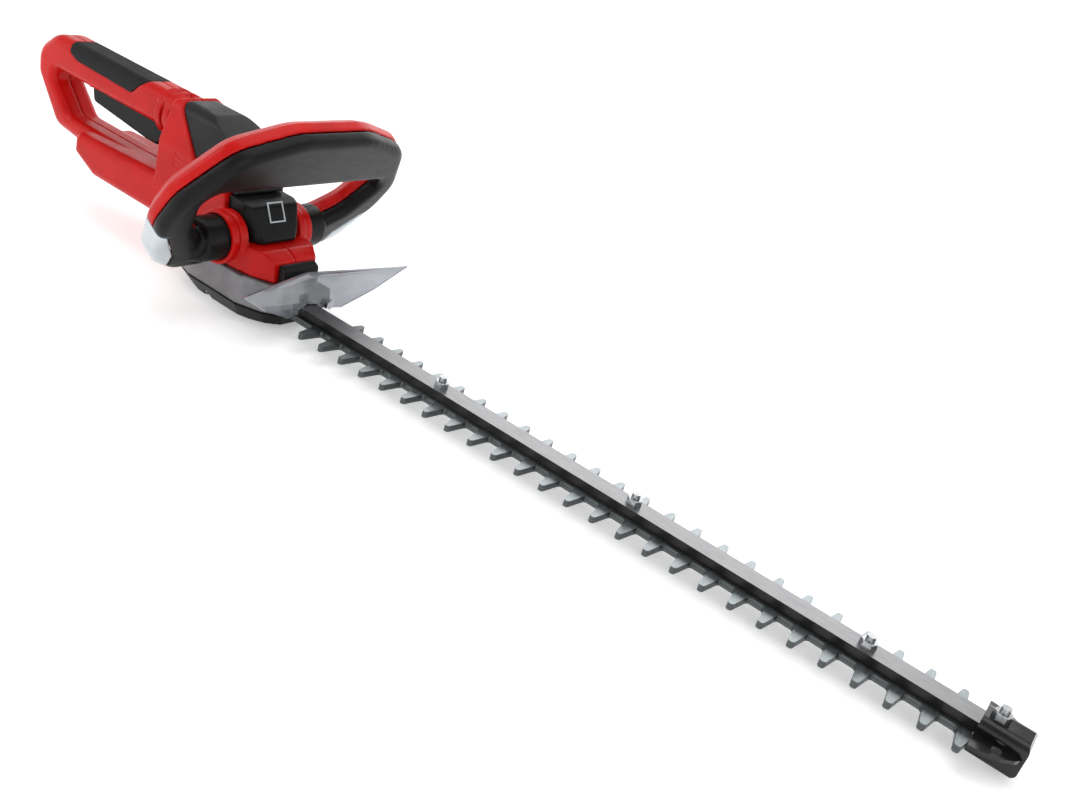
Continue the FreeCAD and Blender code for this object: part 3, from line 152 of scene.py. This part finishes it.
def metal(name, dark, light, gloss, stretch, scale, strength, spots=0.0, painted_side_shade=None):
    """Bare metal with brushing or grinding lines, faint stains and, if a side colour is given, painted shade:
    faces that turn away from straight up are darkened towards that colour.
    """
    made = Nodes(name)
    lines = made.noise(scale, 4.0, 0.7, stretch)
    stains = made.noise(60.0, 6.0, 0.6)
    mixed = made.node("ShaderNodeMath", operation="MULTIPLY_ADD")
    made.link(lines, mixed.inputs[0])
    mixed.inputs[1].default_value = 1.0 - spots
    scaled = made.node("ShaderNodeMath", operation="MULTIPLY")
    made.link(stains, scaled.inputs[0])
    scaled.inputs[1].default_value = spots
    made.link(scaled.outputs[0], mixed.inputs[2])
    value = mixed.outputs[0]
    colour = made.blend(made.ramp(value, 0.35, 0.65, 0, 1), dark, light)
    # painted shade: the colour moves to the side colour as the face's normal turns from straight up to level
    if painted_side_shade is not None:
        painted_shade_facing = made.node("ShaderNodeSeparateXYZ")
        made.link(made.node("ShaderNodeNewGeometry").outputs["Normal"], painted_shade_facing.inputs["Vector"])
        colour = made.blend(made.ramp(painted_shade_facing.outputs["Z"], 0.35, 0.85, 0, 1), painted_side_shade, colour)
    made.link(colour, made.shader.inputs["Base Color"])
    made.link(made.ramp(value, 0.3, 0.7, gloss[0], gloss[1]), made.shader.inputs["Roughness"])
    made.shader.inputs["Metallic"].default_value = 1.0
    made.bump([(lines, strength), (stains, 0.04)], 0.00008)
    return made.material


def soft_rubber(name):
    """Soft-touch overmould with small raised pips."""
    made = Nodes(name)
    pips = made.node("ShaderNodeTexVoronoi")
    pips.inputs["Scale"].default_value = 420.0
    pips.inputs["Randomness"].default_value = 0.15
    made.link(made.stretched((1, 1, 1)), pips.inputs["Vector"])
    dots = made.ramp(pips.outputs["Distance"], 0.15, 0.45, 1, 0)
    dust = made.noise(70.0, 6.0, 0.7)
    made.link(made.blend(made.ramp(dust, 0.4, 0.75, 0, 1), (0.005, 0.005, 0.0055), (0.013, 0.013, 0.014)),
              made.shader.inputs["Base Color"])
    made.link(made.ramp(dust, 0.3, 0.7, 0.52, 0.68), made.shader.inputs["Roughness"])
    made.shader.inputs["Specular IOR Level"].default_value = 0.16
    made.bump([(dots, 0.35), (made.noise(1800.0, 2.0), 0.1)], 0.00025)
    return made.material


def smoked_clear(name):
    """Smoked polycarbonate with faint flow marks."""
    made = Nodes(name)
    flow = made.noise(24.0, 4.0, 0.6, (3, 1, 3))
    made.link(made.blend(made.ramp(flow, 0.3, 0.7, 0, 1), (0.30, 0.32, 0.35), (0.46, 0.48, 0.52)),
              made.shader.inputs["Base Color"])
    made.link(made.ramp(flow, 0.3, 0.7, 0.04, 0.10), made.shader.inputs["Roughness"])
    made.shader.inputs["Transmission Weight"].default_value = 0.72
    made.shader.inputs["IOR"].default_value = 1.5
    made.bump([(flow, 0.06)], 0.0004)
    return made.material


MATERIALS = {
    "red_plastic": moulded("red_plastic", (0.40, 0.003, 0.002), (0.48, 0.005, 0.004), (0.26, 0.38),
                           2200, 0.05, coat=0.06, shine=0.14),
    "black_plastic": moulded("black_plastic", (0.004, 0.004, 0.0042), (0.008, 0.008, 0.0083), (0.28, 0.40),
                             2400, 0.15, shine=0.13),
    "grey_cover": moulded("grey_cover", (0.010, 0.010, 0.011), (0.017, 0.017, 0.0185), (0.28, 0.40),
                          2400, 0.15, shine=0.16),
    "grey_case": moulded("grey_case", (0.13, 0.128, 0.134), (0.20, 0.197, 0.205), (0.26, 0.38),
                         1500, 0.14, metallic=0.75),
    "soft_grip": soft_rubber("soft_grip"),
    "silver_cap": moulded("silver_cap", (0.42, 0.47, 0.50), (0.56, 0.61, 0.64), (0.26, 0.36),
                          2600, 0.08, coat=0.2, metallic=0.5),
    "shield_clear": smoked_clear("shield_clear"),
    # the bar's side faces get painted shade from the dark side colour
    "bar_steel": metal("bar_steel", (0.17, 0.17, 0.175), (0.29, 0.29, 0.295), (0.30, 0.44), (0.04, 1, 1),
                       1500, 0.3, spots=0.25, painted_side_shade=(0.035, 0.033, 0.032)),
    # the blades' side faces get painted shade from the dark side colour
    "blade_steel": metal("blade_steel", (0.20, 0.225, 0.235), (0.33, 0.36, 0.37), (0.28, 0.42), (1, 0.08, 1),
                         1100, 0.35, spots=0.3, painted_side_shade=(0.09, 0.10, 0.10)),
    "zinc": metal("zinc", (0.26, 0.27, 0.28), (0.44, 0.45, 0.46), (0.20, 0.36), (1, 1, 1), 500, 0.2, 0.4),
    "guard_plastic": moulded("guard_plastic", (0.004, 0.004, 0.004), (0.009, 0.009, 0.009), (0.12, 0.24),
                             1800, 0.06, coat=0.35),
    "gear_steel": metal("gear_steel", (0.20, 0.20, 0.21), (0.34, 0.34, 0.35), (0.34, 0.52),
                        (1, 1, 1), 900, 0.35, 0.4),
    "shaft_steel": metal("shaft_steel", (0.52, 0.52, 0.53), (0.66, 0.66, 0.67), (0.16, 0.3),
                         (1, 1, 6), 700, 0.15, 0.2),
    "bronze": metal("bronze", (0.36, 0.22, 0.09), (0.55, 0.36, 0.16), (0.32, 0.5), (1, 1, 1), 1200, 0.3, 0.4),
    "magnet": moulded("magnet", (0.03, 0.03, 0.032), (0.055, 0.055, 0.06), (0.5, 0.7), 1600, 0.35),
    "carbon": moulded("carbon", (0.012, 0.012, 0.012), (0.03, 0.03, 0.03), (0.45, 0.65), 1800, 0.3),
    "copper": metal("copper", (0.55, 0.24, 0.12), (0.75, 0.38, 0.21), (0.2, 0.36), (1, 1, 8), 900, 0.25, 0.3),
    "board_green": moulded("board_green", (0.010, 0.09, 0.035), (0.018, 0.14, 0.05), (0.2, 0.34),
                           900, 0.12, 0.3),
}
SLOT_OF = {entry["node"]: entry["material_slot"] for entry in frame["record"]["subparts"]}
for node, slot in SLOT_OF.items():
    mesh = frame["nodes"][node].data
    mesh.materials.clear()
    mesh.materials.append(MATERIALS[slot])

# ---------------------------------------------------------------- moulded pieces with soft edges


def softened(node, voxel, rounds):
    """Copy of a CAD shell whose edges and joints are rounded off as a mould leaves them."""
    source = frame["nodes"][node]
    item = bpy.data.objects.new(node + "_moulded", source.data.copy())
    bpy.context.scene.collection.objects.link(item)
    remesh = item.modifiers.new("remesh", "REMESH")
    remesh.mode = "VOXEL"
    remesh.voxel_size = voxel
    remesh.use_smooth_shade = True
    smooth = item.modifiers.new("smooth", "SMOOTH")
    smooth.factor = 0.5
    smooth.iterations = rounds
    ready = bpy.data.meshes.new_from_object(item.evaluated_get(bpy.context.evaluated_depsgraph_get()))
    item.modifiers.clear()
    item.data = ready
    ready.materials.clear()
    ready.materials.append(source.data.materials[0])
    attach(item, source["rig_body"])
    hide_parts(node)


def square_frame(name, centre, across, up, half, width, high, slot, body):
    """Raised square frame with soft edges on a sloping face."""
    normal = across.cross(up).normalized()
    made = bmesh.new()
    rings = []
    profile = ((half, 0.0), (half - 0.15 * width, high), (half - 0.85 * width, high), (half - width, 0.0))
    for size, lift in profile:
        rings.append([made.verts.new(centre + across * (size * sx) + up * (size * sy) + normal * lift)
                      for sx, sy in ((-1, -1), (1, -1), (1, 1), (-1, 1))])
    for one, other in zip(rings, rings[1:] + rings[:1]):
        for k in range(4):
            made.faces.new((one[k], one[(k + 1) % 4], other[(k + 1) % 4], other[k]))
    bmesh.ops.recalc_face_normals(made, faces=made.faces)
    mesh = bpy.data.meshes.new(name)
    made.to_mesh(mesh)
    made.free()
    mesh.materials.append(MATERIALS[slot])
    item = bpy.data.objects.new(name, mesh)
    bpy.context.scene.collection.objects.link(item)
    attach(item, body)


# Voxel size in metres and number of smoothing rounds for each softened piece.
SOFT_EDGES = {
    "bail_front_shell": (0.0014, 14),
    "bail_rear_shell": (0.0014, 6),
    "bail_collars": (0.0008, 3),
    "bail_corner_caps": (0.0008, 2),
    "top_cover": (0.0009, 5),
    "nose_cover": (0.0009, 4),
    "front_block": (0.0006, 2),
    "housing_right": (0.0009, 4),
    "housing_left": (0.0009, 4),
    "grip_pad": (0.0006, 2),
    "gear_case": (0.0010, 2),
    "belly_plate": (0.0010, 3),
    "rear_trigger": (0.0008, 4),
    "front_switch_bar": (0.0008, 3),
}
for node, (voxel, rounds) in SOFT_EDGES.items():
    softened(node, voxel, rounds)

BADGE_CENTRE = place(-76.2, 0, 69.0)
BADGE_UP = Vector((-15.0, 0, 27.7)).normalized()    # along the slope of the nose
BADGE_HALF = 0.0082
BADGE_LINE = 0.0013
BADGE_HIGH = 0.0006
square_frame("nose_badge_frame", BADGE_CENTRE, Vector((0, 1, 0)), BADGE_UP, BADGE_HALF, BADGE_LINE,
             BADGE_HIGH, "silver_cap", "tool_body")

# ---------------------------------------------------------------- floor, light and camera


FLOOR_HALF = 6.0     # metres to where the floor starts to sweep up
SWEEP_HALF = 9.0
SWEEP_HIGH = 4.0


def floor():
    """Plain pale floor that sweeps up far away from the tool."""
    made = bmesh.new()
    corners = ((-1, -1), (1, -1), (1, 1), (-1, 1))
    near = [made.verts.new((FLOOR_HALF * x, FLOOR_HALF * y, 0.0)) for x, y in corners]
    far = [made.verts.new((SWEEP_HALF * x, SWEEP_HALF * y, SWEEP_HIGH)) for x, y in corners]
    made.faces.new(near)
    for k in range(4):
        made.faces.new((near[k], near[k - 1], far[k - 1], far[k]))
    mesh = bpy.data.meshes.new("floor")
    made.to_mesh(mesh)
    made.free()
    item = bpy.data.objects.new("floor", mesh)
    bpy.context.scene.collection.objects.link(item)
    paper = Nodes("floor_paper")
    cloud = paper.noise(2.0, 3.0)
    paper.link(paper.blend(paper.ramp(cloud, 0.3, 0.7, 0, 1), (0.87, 0.87, 0.87), (0.89, 0.89, 0.89)),
               paper.shader.inputs["Base Color"])
    paper.shader.inputs["Roughness"].default_value = 0.9
    paper.shader.inputs["Specular IOR Level"].default_value = 0.1
    paper.shader.inputs["Emission Color"].default_value = (1, 1, 1, 1)
    distance = paper.node("ShaderNodeVectorMath", operation="LENGTH")
    paper.link(paper.node("ShaderNodeNewGeometry").outputs["Position"], distance.inputs[0])
    glow = paper.ramp(distance.outputs["Value"], 0.7, 2.2, 0.32, 0.64)
    paper.link(glow, paper.shader.inputs["Emission Strength"])
    mesh.materials.append(paper.material)


MIDDLE = Vector((0.0, 0.0, 0.05))
WORLD_STRENGTH = 0.5


def area_light(name, place_at, size, power):
    """Soft rectangular light aimed at the middle of the tool."""
    data = bpy.data.lights.new(name, "AREA")
    data.shape = "RECTANGLE"
    data.size, data.size_y = size
    data.energy = power
    item = bpy.data.objects.new(name, data)
    item.location = place_at
    item.rotation_euler = (MIDDLE - Vector(place_at)).to_track_quat("-Z", "Y").to_euler()
    bpy.context.scene.collection.objects.link(item)


floor()
area_light("overhead", (0.0, 0.2, 1.7), (2.4, 1.4), 17)
area_light("front_left", (-1.2, -1.3, 1.1), (1.0, 1.0), 9)
area_light("front_right", (1.3, -0.7, 0.9), (0.8, 1.2), 4)
area_light("behind", (-0.3, 1.5, 0.9), (1.6, 0.8), 9)
world = bpy.data.worlds.new("studio")
world.use_nodes = True
background = world.node_tree.nodes["Background"]
background.inputs["Color"].default_value = (1, 1, 1, 1)
background.inputs["Strength"].default_value = WORLD_STRENGTH
bpy.context.scene.world = world
bpy.context.scene.view_settings.view_transform = "Standard"

LENS = 37.335
SENSOR_WIDE = 36.0
CAMERA_PLACE = place(530.31, -624.08, 378.84)
camera_data = bpy.data.cameras.new("camera")
camera_data.sensor_width = SENSOR_WIDE
camera_data.sensor_fit = "HORIZONTAL"
camera_data.lens = LENS
camera_data.clip_start = 0.01
camera = bpy.data.objects.new("camera", camera_data)
right = Vector((0.78172517, 0.56065578, 0.27307664))
down = Vector((0.45870568, -0.22028408, -0.86085076))
forward = Vector((-0.42248652, 0.79821051, -0.4293776))
turn = Matrix((right, -down, -forward)).transposed()
camera.matrix_world = Matrix.Translation(CAMERA_PLACE) @ turn.to_4x4()
bpy.context.scene.collection.objects.link(camera)
bpy.context.scene.camera = camera
